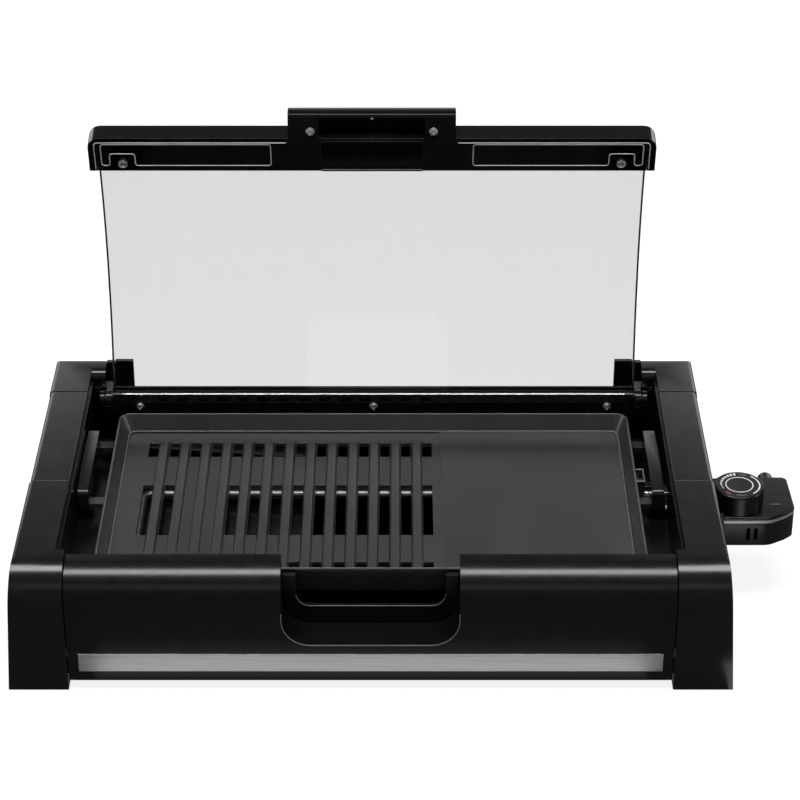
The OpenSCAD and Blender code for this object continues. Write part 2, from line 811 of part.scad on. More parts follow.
// Bracket that carries one hinge pin
module hinge_bracket() {
    color(steel) difference() {
        union() {
            rod_x(bracket_x0, bracket_x1, hinge_y, hinge_z, 2 * bracket_r);
            box([bracket_x0, bracket_x1], [hinge_y, post_y],
                [hinge_z + bracket_z[0], hinge_z + bracket_z[1]]);
            box([bracket_x1 - tiny, basin_x - sheet - 0.5], [post_y - 2.5, post_y],
                [hinge_z + bracket_z[0], hinge_z + bracket_z[1]]);
        }
        rod_x(bracket_x0 - over, basin_x + over, hinge_y, hinge_z, hinge_pin_d + 2 * running_fit);
    }
}
module left_hinge_bracket() { handed(-1) hinge_bracket(); }
module right_hinge_bracket() { hinge_bracket(); }
module bracket_screws() {
    color(steel) for (side = [-1, 1])
        handed(side) translate([bracket_x1 + 3.5, post_y - 2.5, hinge_z - 3]) rotate([90, 0, 0])
            cylinder(d = 4.5, h = 1.2);
}

// Grill plate
module plate_slab(inset, z0, z1) {
    rounded_slab([-plate_w / 2 + inset, plate_w / 2 - inset], [inset, plate_d - inset], [z0, z1],
        max(plate_r - inset, 3));
}
module groove_slot(i, range) {
    x = rib_x0 + (i - 0.5) * rib_pitch;
    box([x - slot_w / 2, x + slot_w / 2], range, [under_z - over, floor_z + over]);
}
module ribs() {
    for (i = [0 : rib_count - 1]) {
        x = rib_x0 + i * rib_pitch;
        along_y(rib_front, rib_end_y)
            polygon([[x - rib_w / 2, floor_z - over], [x + rib_w / 2, floor_z - over],
                [x + rib_w / 2, floor_z], [x + rib_top_w / 2, floor_z + rib_h],
                [x - rib_top_w / 2, floor_z + rib_h], [x - rib_w / 2, floor_z]]);
    }
}
module grill_plate() {
    color(coating) {
        difference() {
            union() {
                difference() {
                    hull() {
                        plate_slab(0, rim_z - 2, rim_z);
                        plate_slab(skirt_lean, skirt_z, skirt_z + 1);
                    }
                    hull() {
                        plate_slab(rim_lip, rim_z - tiny, rim_z + over);
                        rounded_slab([-bowl_x, bowl_x], [rim_lip + bowl_run, bowl_y1],
                            [floor_z, floor_z + tiny], 6);
                    }
                    hull() {
                        plate_slab(skirt_lean + skirt_wall, skirt_z - over, under_z);
                    }
                }
                intersection() {
                    ribs();
                    along_x(-plate_w / 2, plate_w / 2)
                        polygon([[rib_front, floor_z - over], [rib_end_y, floor_z - over],
                            [rib_end_y, floor_z], [rib_end_y - rib_ramp, floor_z + rib_h],
                            [rib_front, floor_z + rib_h]]);
                }
                // Flat half, let into the foot of the bowl's wall
                box([flat_x, bowl_x + flat_step], [rim_lip + bowl_run - flat_step, bowl_y1 + flat_step],
                    [floor_z - over, floor_z + flat_step]);
                for (side = [-1, 1], y = [-1, 1])
                    handed(side) box([plate_w / 2 - skirt_lean - 2, handle_face(side)],
                        [handle_y + y * lug_reach - lug_w / 2, handle_y + y * lug_reach + lug_w / 2],
                        [handle_bottom_z, handle_bottom_z + lug_h]);
            }
            for (i = [0 : rib_count]) {
                groove_slot(i, slot_rear);
                if (i > 0) groove_slot(i, slot_front);
                if (len(search(i, closed_grooves)) == 0) groove_slot(i, slot_middle);
            }
            // Notch in the skirt for the terminals
            box([plate_w / 2 - skirt_lean - skirt_wall - over, plate_w / 2 + over],
                [socket_y - insulator_w / 2, socket_y + insulator_w / 2], [skirt_z - over, under_z]);
            for (side = [-1, 1], y = [-1, 1])
                handed(side) rod_x(handle_face(side) - 8, handle_face(side) + over,
                    handle_y + y * lug_reach, handle_bottom_z + lug_h / 2, handle_screw_d - 0.4);
        }
    }
}
function handle_face(side) = side < 0 ? handle_x0 : right_handle_x0;
// Plan of a handle bar, with a slightly bowed outer face
module handle_plan(x0, w) {
    polygon(concat([[x0, handle_y + handle_len / 2], [x0, handle_y - handle_len / 2]],
        [for (i = [-4 : 4]) [x0 + w - handle_bow * i * i / 16, handle_y + i * handle_len / 8]]));
}
// Outline of a handle bar from the side, with rounded upper corners
module handle_side_outline() {
    r = handle_round;
    y = handle_len / 2;
    polygon(concat(
        [[handle_y - y, handle_bottom_z], [handle_y + y, handle_bottom_z]],
        arc_points(handle_y + y - r, handle_top_z - r, r, 0, 90, 6),
        arc_points(handle_y - y + r, handle_top_z - r, r, 90, 180, 6)));
}
module plate_handle(x0, w) {
    skew = min(handle_skew, basin_x - sheet - 0.7 - x0 - w);
    color(black_plastic) difference() {
        intersection() {
            hull() {
                translate([0, 0, handle_bottom_z]) linear_extrude(2) handle_plan(x0, w + skew);
                translate([0, 0, handle_top_z - tiny]) linear_extrude(tiny) handle_plan(x0, w);
            }
            along_x(x0 - over, basin_x) handle_side_outline();
        }
        for (y = [-1, 1]) {
            rod_x(x0 - over, x0 + w + 2 * skew + over, handle_y + y * lug_reach,
                handle_bottom_z + lug_h / 2, handle_screw_d);
            rod_x(x0 + w - 3, x0 + w + skew + over, handle_y + y * lug_reach,
                handle_bottom_z + lug_h / 2, handle_screw_head_d);
        }
    }
}
module left_plate_handle() { handed(-1) plate_handle(handle_x0, handle_w); }
module right_plate_handle() { plate_handle(right_handle_x0, right_handle_w); }
module plate_handle_screws() {
    color(steel) for (side = [-1, 1], y = [-1, 1]) handed(side)
        translate([handle_face(side) + (side < 0 ? handle_w : right_handle_w) - 3,
            handle_y + y * lug_reach, handle_bottom_z + lug_h / 2])
            rotate([0, 90, 0]) {
                cylinder(d = handle_screw_head_d - 0.2, h = 1.5);
                translate([0, 0, -12]) cylinder(d = handle_screw_d - 0.44, h = 12 + tiny);
            }
}

// Heating tube: straight runs that end just inside the round bends
module tube_bend_at(x, y, r, from, to) {
    translate([x, y, tube_z]) rotate([0, 0, from]) rotate_extrude(angle = to - from, $fn = 72)
        translate([r, 0]) circle(r = tube_r + bend_swell, $fn = 24);
}
module heating_element() {
    r = tube_bend;
    t = bend_grip;
    c = corner_r;
    color(steel) {
        rod_x(jog_x1 - t, tube_end_x, pin_b_y, tube_z, tube_d, $fn = 24);
        tube_bend_at(jog_x1, pin_b_y - jog_r, jog_r, 90, 90 + jog_turn);
        translate([jog_x1, pin_b_y - jog_r, tube_z]) rotate([0, 0, jog_turn])
            translate([0, jog_r, 0]) rod_x(-jog_run - t, t, 0, 0, tube_d, $fn = 24);
        tube_bend_at(jog_x0, tube_y + jog_r, jog_r, 270, 270 + jog_turn);
        rod_x(tube_left_x + r - t, jog_x0 + t, tube_y, tube_z, tube_d, $fn = 24);
        tube_bend_at(tube_left_x + r, tube_y - r, r, 90, 180);
        rod_y(tube_left_x, tube_front_y + r - t, tube_y - r + t, tube_z, tube_d, $fn = 24);
        tube_bend_at(tube_left_x + r, tube_front_y + r, r, 180, 270);
        rod_x(tube_left_x + r - t, tube_right_x - r + t, tube_front_y, tube_z, tube_d, $fn = 24);
        tube_bend_at(tube_right_x - r, tube_front_y + r, r, 270, 360);
        rod_y(tube_right_x, tube_front_y + r - t, pin_a_y - c + t, tube_z, tube_d, $fn = 24);
        tube_bend_at(tube_right_x + c, pin_a_y - c, c, 90, 180);
        rod_x(tube_right_x + c - t, tube_end_x, pin_a_y, tube_z, tube_d, $fn = 24);
    }
}
module element_clips() {
    color(steel) for (x = clip_x, y = [tube_y, tube_front_y]) {
        run_y = (x > jog_x1 && y == tube_y) ? pin_b_y : y;
        difference() {
            box([x - clip_w / 2, x + clip_w / 2], [run_y - tube_r - 4, run_y + tube_r + 4],
                [tube_z - tube_r - clip_t, under_z]);
            rod_x(x - clip_w, x + clip_w, run_y, tube_z, tube_d + 0.1);
            box([x - clip_w, x + clip_w], [run_y + tube_r + clip_t, run_y + tube_r + 5],
                [tube_z - tube_r - 2 * clip_t, under_z - clip_t]);
            box([x - clip_w, x + clip_w], [run_y - tube_r - 5, run_y - tube_r - clip_t],
                [tube_z - tube_r - 2 * clip_t, under_z - clip_t]);
        }
    }
}
module terminal_insulator() {
    color(ceramic_white) difference() {
        box([tube_end_x, insulator_x1], [socket_y - insulator_w / 2 + 0.4,
            socket_y + insulator_w / 2 - 0.4], [skirt_z - 3, under_z]);
        box([tube_end_x - over, insulator_x1 + over], [socket_y - sensor_d / 2 - 1,
            socket_y + sensor_d / 2 + 1], [skirt_z - 3 - over, tube_z + sensor_d / 2 + 0.7]);
        for (y = [pin_a_y, pin_b_y])
            rod_x(tube_end_x - over, insulator_x1 + over, y, tube_z, pin_d + 0.04);
    }
}
module terminal_pins() {
    color(steel) for (y = [pin_a_y, pin_b_y]) {
        rod_x(tube_end_x, pin_tip_x - 1, y, tube_z, pin_d);
        translate([pin_tip_x - 1 - tiny, y, tube_z]) rotate([0, 90, 0])
            cylinder(d1 = pin_d, d2 = pin_d - 1.6, h = 1);
    }
}
// Guard over the terminals: two sheet walls and a cross wall, open at the top
module terminal_shroud() {
    z = [under_z + 0.2, rim_z - 4];
    color(steel) difference() {
        union() {
            for (y = [pin_a_y, pin_b_y])
                box([plate_w / 2 - 5, shroud_x1], [y - sheet / 2, y + sheet / 2], z);
            box([shroud_x1 - sheet, shroud_x1], [pin_a_y, pin_b_y], z);
        }
        hull() {
            plate_slab(-0.05, rim_z - 2, rim_z);
            plate_slab(skirt_lean - 0.05, skirt_z - 4, skirt_z + 1);
        }
    }
}

// Drip tray
// Outline of the tray from the front, with rounded lower corners
module tray_outline(inset, top) {
    x = tray_w / 2 - tray_r;
    r = tray_r - inset;
    intersection() {
        polygon(concat(
            arc_points(x, tray_z + tray_r, r, 0, -90, 8),
            arc_points(-x, tray_z + tray_r, r, -90, -180, 8)));
        translate([-tray_w, 0]) square([2 * tray_w, top]);
    }
}
module drip_tray() {
    color(steel) difference() {
        along_y(tray_front_y, tray_len) tray_outline(0, tray_z + tray_h);
        along_y(tray_front_y + tray_t, tray_len - tray_t) tray_outline(tray_t, tray_z + tray_h + over);
        for (side = [-1, 1])
            rod_y(side * rivet_x, tray_front_y - over, tray_front_y + 2 * tray_t, tray_z + tray_h / 2,
                rivet_d + 0.04);
    }
}
module window_outline() {
    x = window_w / 2;
    polygon(concat(
        arc_points(x - window_r, window_z + window_r, window_r, 0, -90, 8),
        arc_points(-x + window_r, window_z + window_r, window_r, -90, -180, 8),
        [[-x, side_h], [x, side_h]]));
}
module tray_front() {
    y0 = tray_front_y - tray_front_t;
    color(black_plastic) difference() {
        intersection() {
            along_y(y0, tray_front_y) difference() {
                recess_outline(-tray_fit);
                window_outline();
            }
            box([-recess_x, recess_x], [y0 - over, tray_front_y + over], [0, post_top_z]);
        }
        for (side = [-1, 1])
            rod_y(side * rivet_x, y0 + 1.5, tray_front_y + over, tray_z + tray_h / 2,
                rivet_d + 0.04);
    }
}
module tray_rivets() {
    color(steel) for (side = [-1, 1]) {
        rod_y(side * rivet_x, tray_front_y - tray_front_t + 1.6, tray_front_y + tray_t + tiny,
            tray_z + tray_h / 2, rivet_d);
        rod_y(side * rivet_x, tray_front_y + tray_t, tray_front_y + tray_t + 1,
            tray_z + tray_h / 2, rivet_d + 2.5);
    }
}

// The lid is drawn closed around its hinge axis and stood open
module lid_place() {
    translate([0, hinge_y, hinge_z]) rotate([-lid_open, 0, 0]) children();
}
chord = [glass_front - glass_back, glass_front_z - glass_rear_z];
chord_len = norm(chord);
chord_mid = [(glass_front + glass_back) / 2, (glass_front_z + glass_rear_z) / 2];
chord_up = [chord[1], -chord[0]] / chord_len;
arc_centre = chord_mid - chord_up * sqrt(glass_r * glass_r - chord_len * chord_len / 4);
// The ring that the glass is cut from, grown by a gap on both faces
module glass_ring(gap) {
    translate(arc_centre) difference() {
        circle(r = glass_r + glass_t + gap, $fn = 180);
        circle(r = glass_r - gap, $fn = 180);
    }
}
module glass_outline(gap, grow) {
    intersection() {
        glass_ring(gap);
        translate([glass_front - front_grip - grow, -20])
            square([glass_back - glass_front + glass_grip + front_grip + 2 * grow, 60]);
    }
}
module lid_glass() {
    color(glass_tint) lid_place() along_x(-glass_w / 2, glass_w / 2) glass_outline(0, 0);
}
module rear_bar_outline() {
    r = rear_bar_r;
    polygon(concat(
        arc_points(rear_bar[0] + r, rear_bar_z[0] + r, r, 180, 270, 5),
        [[rear_bar[1], rear_bar_z[0]], [rear_bar[1], rear_bar_z[1]], [rear_bar[0], rear_bar_z[1]]]));
}
module above_glass(grow) {
    // Everything over the glass's lower face, and over the split line beyond its ends
    translate(arc_centre) difference() {
        translate([-lid_reach, glass_r - 2 * strip_reach]) square([2 * lid_reach, lid_reach]);
        circle(r = glass_r + grow, $fn = 180);
    }
}
module clamp_holes() {
    for (x = [-lid_screw_x, 0, lid_screw_x])
        translate([x, clamp_screw_y, rear_bar_z[0] - over]) cylinder(d = 3.4, h = 9);
}
module lid_rear_clamp() {
    color(black_plastic) lid_place() difference() {
        along_x(-rear_bar_w / 2, rear_bar_w / 2) difference() {
            rear_bar_outline();
            above_glass(-seal_t);
            translate([glass_back + glass_grip - tiny, split_z]) square([40, 20]);
            translate([glass_back + glass_grip + 0.4, split_z - 2.5]) square([3, 20]);
        }
        clamp_holes();
    }
}
module lid_rear_trim() {
    color(black_plastic) lid_place() difference() {
        along_x(-rear_bar_w / 2, rear_bar_w / 2) difference() {
            rear_bar_outline();
            difference() {
                translate([-40, -20]) square([40 + glass_back + glass_grip + 0.4, 60]);
                above_glass(glass_t + seal_t);
            }
            translate([glass_back + glass_grip, -20]) square([40, 20 + split_z + 0.05]);
        }
        for (x = [-lid_screw_x, 0, lid_screw_x])
            translate([x, clamp_screw_y, 0]) cylinder(d = 3, h = 9);
    }
}
module glass_seals() {
    color(seal_grey) lid_place() for (range = [[rear_bar[0] + 1, glass_back + glass_grip],
        [glass_front - front_grip, strip_y0 - 1.5]])
        along_x(-glass_w / 2, glass_w / 2) difference() {
            intersection() {
                glass_ring(seal_t - 0.02);
                translate([range[0], -20]) square([range[1] - range[0], 60]);
            }
            glass_ring(0.01);
        }
}
function bar_up() = [-sin(strip_slope), cos(strip_slope)];
// Outline of the front bar: sloping underside, square front, top that meets the glass
module front_bar_outline(inset) {
    top_front = [strip_y1, strip_z1] + bar_up() * bar_t;
    polygon([[strip_y0, strip_z0 + inset * 1.2], [strip_y1 + inset, strip_z1 + inset],
        [top_front[0] + inset, top_front[1] - inset], [strip_y0 - 10, glass_front_z + 11 - inset],
        [strip_y0, glass_front_z + 9 - inset]]);
}
module strip_band(depth) {
    polygon([[strip_y0 + over, strip_z0 - over * tan(-strip_slope)],
        [strip_y1 - over, strip_z1 + over * tan(-strip_slope)],
        [strip_y1 - over, strip_z1 + over * tan(-strip_slope)] + bar_up() * depth,
        [strip_y0 + over, strip_z0 - over * tan(-strip_slope)] + bar_up() * depth]);
}
// Hollow of the front bar, open below for the strip and the glass
module front_bar_hollow() {
    top_front = [strip_y1, strip_z1] + bar_up() * bar_t;
    y1 = strip_y0 - bar_lip;
    polygon([[strip_y1 + bar_wall, lid_grip_low - over], [y1, lid_grip_low - over],
        [y1, glass_front_z + 11 - bar_wall], [top_front[0] + bar_wall, top_front[1] - bar_wall],
        [strip_y1 + bar_wall, strip_z1 + bar_wall]]);
    difference() {
        translate([y1 - tiny, lid_grip_low - over]) square([bar_lip + 2 * over, 60]);
        above_glass(glass_t + seal_t);
    }
}
// Upright prism with rounded front corners, square to the bar's sloping underside
module bar_prism(rim_x, rim_y, r) {
    x = bar_w / 2 - rim_x;
    translate([0, strip_y1, strip_z1]) rotate([strip_slope, 0, 0]) translate([0, 0, -20])
        linear_extrude(60) polygon(concat([[x, 60], [-x, 60]],
            arc_points(-x + r, rim_y + r, r, 180, 270, 8),
            arc_points(x - r, rim_y + r, r, 270, 360, 8)));
}
module lid_front_trim() {
    x = bar_w / 2 - bar_rim[0];
    post_y = [strip_screw_y - 4, glass_front - front_grip - 0.8];
    color(black_plastic) lid_place() {
        difference() {
            intersection() {
                along_x(-bar_w / 2, bar_w / 2) front_bar_outline(0);
                bar_prism(0, 0, bar_r);
            }
            intersection() {
                along_x(-x, x) front_bar_hollow();
                bar_prism(bar_rim[0], bar_rim[1], bar_r - 3);
            }
        }
        // Posts that the strip is screwed to
        for (p = strip_screw_points())
            difference() {
                along_x(p[0] - 4, p[0] + 4)
                    polygon([[post_y[0], strip_z(post_y[0]) + strip_thick + 0.1],
                        [post_y[1], strip_z(post_y[1]) + strip_thick + 0.1],
                        [post_y[1], glass_front_z + 9], [post_y[0], glass_front_z + 9.5]]);
                translate([p[0], 0, 0]) on_strip(p[1]) cylinder(d = 3.04, h = 7);
            }
    }
}
strip_screw_y = strip_y0 - 8;
function strip_screw_points() = [for (side = [-1, 1]) [side * (bar_w / 2 - 27.5), strip_screw_y]];
module on_strip(y) {
    translate([0, y, strip_z0 + (y - strip_y0) * tan(strip_slope)]) rotate([strip_slope, 0, 0])
        children();
}
module lid_front_strip() {
    color(dark_plastic) lid_place() difference() {
        intersection() {
            along_x(-bar_w / 2, bar_w / 2) difference() {
                intersection() {
                    strip_band(strip_thick);
                    translate([strip_y1, -strip_reach])
                        square([strip_y0 - strip_y1, 2 * strip_reach]);
                }
                above_glass(-seal_t);
            }
            bar_prism(bar_rim[0] + 0.3, bar_rim[1] + 0.3, bar_r - 3.3);
        }
        for (p = strip_screw_points())
            translate([p[0], 0, 0]) on_strip(p[1]) translate([0, 0, -over]) cylinder(d = 3.4, h = 6);
    }
}
module lid_strip_screws() {
    color(steel) lid_place() for (p = strip_screw_points())
        translate([p[0], 0, 0]) on_strip(p[1]) mirror([0, 0, 1]) pan_screw(screw_head_d, 3, 6);
}
module lid_clamp_screws() {
    color(steel) lid_place() for (x = [-lid_screw_x, 0, lid_screw_x])
        translate([x, clamp_screw_y, rear_bar_z[0]]) mirror([0, 0, 1])
            pan_screw(screw_head_d, 2.9, clamp_screw_len);
}

// Handle: an outer bracket with a finger pocket, and an inner grip
function strip_z(y) = strip_z0 + (y - strip_y0) * tan(strip_slope);
module handle_outline(inset) {
    y0 = lid_handle_y0 + inset;
    z0 = lid_handle_z[1] + inset;
    z1 = lid_handle_z[2] - inset;
    r = lid_handle_r;
    polygon(concat(
        [[lid_arm_y, lid_handle_z[0]], [lid_arm_y + 0.6, lid_handle_z[0] + 1],
            [lid_arm_y + 0.6, strip_z(lid_arm_y)], [lid_handle_y1, strip_z1 + 4], [lid_handle_y1, z1]],
        arc_points(y0 + r, z1 - r, r, 90, 180, 6),
        arc_points(y0 + r, z0 + r, r, 180, 262, 6)));
}
lid_bracket_screw_x = lid_handle_w / 2 - 18;
lid_bracket_screw_y = lid_handle_y0 + 13.8;
module lid_handle_bracket() {
    x = lid_handle_w / 2;
    color(black_plastic) lid_place() difference() {
        along_x(-x, x) handle_outline(0);
        along_x(-x - over, x + over) front_bar_outline(-0.05);
        // Finger pocket, open below
        box([-pocket_w / 2, pocket_w / 2], [lid_handle_y0 + pocket_wall, lid_arm_y + over],
            [lid_handle_z[0] - over, lid_handle_z[2] - 2.6]);
        for (side = [-1, 1])
            translate([side * lid_bracket_screw_x, lid_bracket_screw_y, lid_handle_z[0] - over])
                cylinder(d = 3.04, h = bracket_hole_len);
        translate([0, lid_bracket_screw_y - 5, lid_handle_z[2] - 2.6 - over])
            cylinder(d = 2.04, h = 2.1 + over);
    }
}
function handle_face_z(y) = lid_handle_z[0]
    + (lid_handle_z[1] - lid_handle_z[0]) * (lid_arm_y - y) / (lid_arm_y - lid_handle_y0);
module lid_handle_screws() {
    color(steel) lid_place() {
        for (side = [-1, 1])
            translate([side * lid_bracket_screw_x, lid_bracket_screw_y,
                handle_face_z(lid_bracket_screw_y) - 0.6]) mirror([0, 0, 1]) pan_screw(7.2, 3, 7);
        translate([0, lid_bracket_screw_y - 5, lid_handle_z[2] - 2.6]) mirror([0, 0, 1])
            pan_screw(4, 2, 2);
    }
}
module lid_handle_grip() {
    x = lid_grip_w / 2;
    rise = strip_z(lid_grip_y[0]) - strip_z(lid_grip_y[1]);
    color(dark_plastic) lid_place() difference() {
        along_x(-x, x) polygon([[lid_grip_y[1], lid_grip_low],
            [lid_grip_y[0] - 3, lid_grip_low + rise - 0.7],
            [lid_grip_y[0], lid_grip_low + rise + 2], [lid_grip_y[0], 10],
            [lid_grip_y[1] - 1, 10], [lid_grip_y[1] - 1, lid_grip_low + 1]]);
        along_x(-x - over, x + over) strip_band(40);
    }
}

// Hinge
module hinge_arm() {
    x = rear_bar_w / 2;
    color(enamel) lid_place() difference() {
        union() {
            along_x(x, x + arm_t) rear_bar_outline();
            rod_x(x, x + arm_t, 0, 0, 2 * arm_r);
            // Foot on the clamp's face
            translate([x, 0, rear_bar_z[0] - arm_foot_t]) linear_extrude(arm_foot_t)
                polygon([[-11, rear_bar[1]], [arm_t, rear_bar[1]], [arm_t, -5], [-1.5, -5], [-6.5, -1.5]]);
            // Lug that meets the hinge housing when the lid is open
            box([x, bracket_x1], stop_y, [arm_r + 1, post_back - lid_stop_gap]);
        }
        rod_x(x - over, x + arm_t + over, 0, 0, hinge_pin_d + 0.04);
    }
}
module left_hinge_arm() { handed(-1) hinge_arm(); }
module right_hinge_arm() { hinge_arm(); }
module hinge_pins() {
    color(steel) lid_place() for (side = [-1, 1])
        handed(side) rod_x(rear_bar_w / 2, bracket_x1 + 0.6, 0, 0, hinge_pin_d);
}

// Control
module control_plan(inset) {
    x0 = control_x0 + inset;
    x1 = control_x1 - inset;
    y0 = control_y0 + inset;
    y1 = control_y1 - inset;
    r = 5 - inset / 2;
    polygon(concat(
        [[x0, y1], [x0, y0], [x1 - 24, y0], [x1 - 19.5, y0 + 0.9]],
        [[x1 - 8, y0 + 7.5]],
        arc_points(x1 - 6, y0 + 17, 6, -40, 0, 4),
        arc_points(x1 - r - 1, y1 - r, r, 0, 90, 6)));
}
module control_lower_housing() {
    color(black_plastic) difference() {
        union() {
            translate([0, 0, control_z0]) linear_extrude(band_z0 - control_z0) control_plan(0);
            plug_body([plug_z0, band_z0 - 0.2]);
        }
        translate([0, 0, control_z0 + control_wall]) linear_extrude(control_h)
            control_plan(control_wall);
        // Hollow of the plug
        box([plug_x0 + 6, control_x0 + control_wall + over],
            [socket_y - plug_w / 2 + control_wall, control_y1 - control_wall],
            [plug_z0 + control_wall, band_z0 + over]);
        box([plug_x0 + 6, plug_x1 - control_wall],
            [socket_y - plug_w / 2 + control_wall, socket_y + plug_w / 2 - control_wall],
            [plug_z0 + control_wall, band_z0 + over]);
        // Vents in the front wall
        for (x = vent_x) {
            box([x - vent_w / 2, x + vent_w / 2], [control_y0 - over, control_y0 + 4], vent_z);
            rod_y(x, control_y0 - over, control_y0 + 4, vent_z[1], vent_w);
        }
        rod_x(plug_x0 - over, plug_x0 + 8, socket_y, tube_z, sensor_d + 0.04);
        for (y = [pin_a_y, pin_b_y], s = [-1, 1])
            box([plug_x0 - over, plug_x0 + 7], leaf_span(y, s, 0.02), [leaf_z[0] + 0.98,
                leaf_z[1] - 0.98]);
        gland_seat();
        for (p = control_screw_points())
            translate([p[0], p[1], control_z0 - over]) cylinder(d = 3, h = 8);
    }
}
// Plug: a block at the socket and a neck that joins it to the housing
module plug_body(z) {
    box([plug_x0, plug_x1], [socket_y - plug_w / 2, socket_y + plug_w / 2], z);
    box([plug_x1 - tiny, control_x0 + control_wall], [socket_y - plug_w / 2, control_y1], z);
}
function leaf_span(y, s, grow) =
    s > 0 ? [y + pin_d / 2 + leaf_gap - grow, y + pin_d / 2 + leaf_gap + leaf_t + grow]
          : [y - pin_d / 2 - leaf_gap - leaf_t - grow, y - pin_d / 2 - leaf_gap + grow];
module control_upper_housing() {
    color(black_plastic) difference() {
        union() {
            translate([0, 0, band_z0 + band_t]) linear_extrude(control_top_z - band_z0 - band_t)
                control_plan(0);
            plug_body([band_z0 - 0.2, plug_z1]);
        }
        gland_seat();
        translate([0, 0, band_z0 - over]) linear_extrude(band_t + over) control_plan(-0.2);
        translate([knob_x, knob_y, 0])
            cylinder(d = knob_shaft_d + 2 * running_fit, h = 2 * control_top_z);
    }
}
module control_trim_band() {
    color(steel) difference() {
        translate([0, 0, band_z0]) linear_extrude(band_t) difference() {
            control_plan(0);
            control_plan(control_wall);
        }
        gland_seat();
    }
}
module gland_seat() {
    rod_y(gland_x, control_y1 - 2 * control_wall, control_y1 + over, gland_z, gland_d + 0.04);
}
function control_screw_points() = [
    [control_x0 + control_screw_in[0], control_y0 + control_screw_in[1]],
    [control_x1 - control_screw_in[2], control_y1 - control_screw_in[3]]];
module control_screws() {
    color(steel) for (p = control_screw_points())
        translate([p[0], p[1], control_z0]) mirror([0, 0, 1]) {
            cylinder(d = 5, h = 1.4);
            translate([0, 0, -control_screw_len]) cylinder(d = 2.9, h = control_screw_len + tiny);
        }
}
module sensor_rod() {
    color(steel) {
        rod_x(sensor_tip_x + sensor_cone, plug_x0 + plug_grip, socket_y, tube_z, sensor_d);
        translate([sensor_tip_x + sensor_cone + tiny, socket_y, tube_z]) rotate([0, -90, 0])
            cylinder(d1 = sensor_d, d2 = sensor_d - sensor_cone, h = sensor_cone);
    }
}
module contact_leaves() {
    color([0.8, 0.6, 0.3]) for (y = [pin_a_y, pin_b_y], s = [-1, 1])
        box([leaf_x0, plug_x0 + 7], leaf_span(y, s, 0), [leaf_z[0] + 1, leaf_z[1] - 1]);
}
module thermostat_block() {
    color(ceramic_white) difference() {
        box([plug_x0 + 8, knob_x + 12], [socket_y - 16, socket_y - 3], [plug_z0 + 3, band_z0 - 2]);
        translate([knob_x, knob_y, 0]) cylinder(d = knob_shaft_d + 3, h = 2 * control_top_z);
    }
}
// Gland in the control's rear wall; its bore takes the supply cord
module cord_gland() {
    color(black_plastic) difference() {
        rod_y(gland_x, control_y1 - control_wall, control_y1 - control_wall + gland_len, gland_z,
            gland_d);
        rod_y(gland_x, control_y1 - control_wall - over, control_y1 + gland_len + over, gland_z,
            cord_hole_d);
    }
}
module knob() {
    color(black_plastic) translate([knob_x, knob_y, knob_z0]) difference() {
        union() {
            cylinder(d = knob_d, h = knob_h - 1, $fn = 72);
            translate([0, 0, knob_h - 1]) cylinder(d1 = knob_d, d2 = knob_d - 2, h = 1, $fn = 72);
        }
        translate([0, 0, -over]) cylinder(d = knob_shaft_d + 0.04, h = knob_h - 3 + over);
        translate([0, 0, -over]) difference() {
            cylinder(d = knob_d - 5, h = knob_h - 5 + over);
            cylinder(d = knob_shaft_d + 5, h = knob_h);
        }
    }
}
module knob_shaft() {
    z0 = band_z0 - 12;
    color(steel) translate([knob_x, knob_y, z0])
        cylinder(d = knob_shaft_d, h = knob_z0 + knob_h - 3 - z0);
}

placed() {
    left_front_leg();
    right_front_leg();
    left_carry_grip();
    right_carry_grip();
    left_hinge_housing();
    right_hinge_housing();
    front_panel();
    front_trim_strip();
    rear_panel();
    bottom_cover();
    basin();
    drip_guide();
    left_tray_rail();
    right_tray_rail();
    plate_pads();
    left_hinge_bracket();
    right_hinge_bracket();
    foot_pads();
    cover_screws();
    bracket_screws();
    grill_plate();
    left_plate_handle();
    right_plate_handle();
    plate_handle_screws();
    heating_element();
    element_clips();
    terminal_shroud();
    terminal_insulator();
    terminal_pins();
    drip_tray();
    tray_front();
    tray_rivets();
    lid_glass();
    lid_front_trim();
    lid_front_strip();
    lid_rear_trim();
    lid_rear_clamp();
    glass_seals();
    lid_handle_bracket();
    lid_handle_grip();
    lid_strip_screws();
    lid_clamp_screws();
    lid_handle_screws();
    left_hinge_arm();
    right_hinge_arm();
    hinge_pins();
    control_lower_housing();
    control_upper_housing();
    control_trim_band();
    sensor_rod();
    contact_leaves();
    thermostat_block();
    control_screws();
    cord_gland();
    knob();
    knob_shaft();
}
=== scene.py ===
import json
import math

import bmesh
import bpy
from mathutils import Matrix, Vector


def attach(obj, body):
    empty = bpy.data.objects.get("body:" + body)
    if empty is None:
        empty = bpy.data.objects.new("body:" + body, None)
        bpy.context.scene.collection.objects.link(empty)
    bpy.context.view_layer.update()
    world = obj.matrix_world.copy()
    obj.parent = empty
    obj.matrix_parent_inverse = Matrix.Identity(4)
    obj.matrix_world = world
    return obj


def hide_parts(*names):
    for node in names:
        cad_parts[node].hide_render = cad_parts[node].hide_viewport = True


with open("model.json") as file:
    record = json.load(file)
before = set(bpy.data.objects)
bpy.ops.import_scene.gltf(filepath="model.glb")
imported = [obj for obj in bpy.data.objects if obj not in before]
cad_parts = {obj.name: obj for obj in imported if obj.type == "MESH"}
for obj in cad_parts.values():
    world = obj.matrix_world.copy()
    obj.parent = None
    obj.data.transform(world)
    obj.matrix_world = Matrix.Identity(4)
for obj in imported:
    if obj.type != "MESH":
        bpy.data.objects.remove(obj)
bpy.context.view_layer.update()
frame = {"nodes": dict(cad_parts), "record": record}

# Places are in mm from the middle of the plate's front rim, on the worktop: +X right, +Y to the rear
MM = 0.001
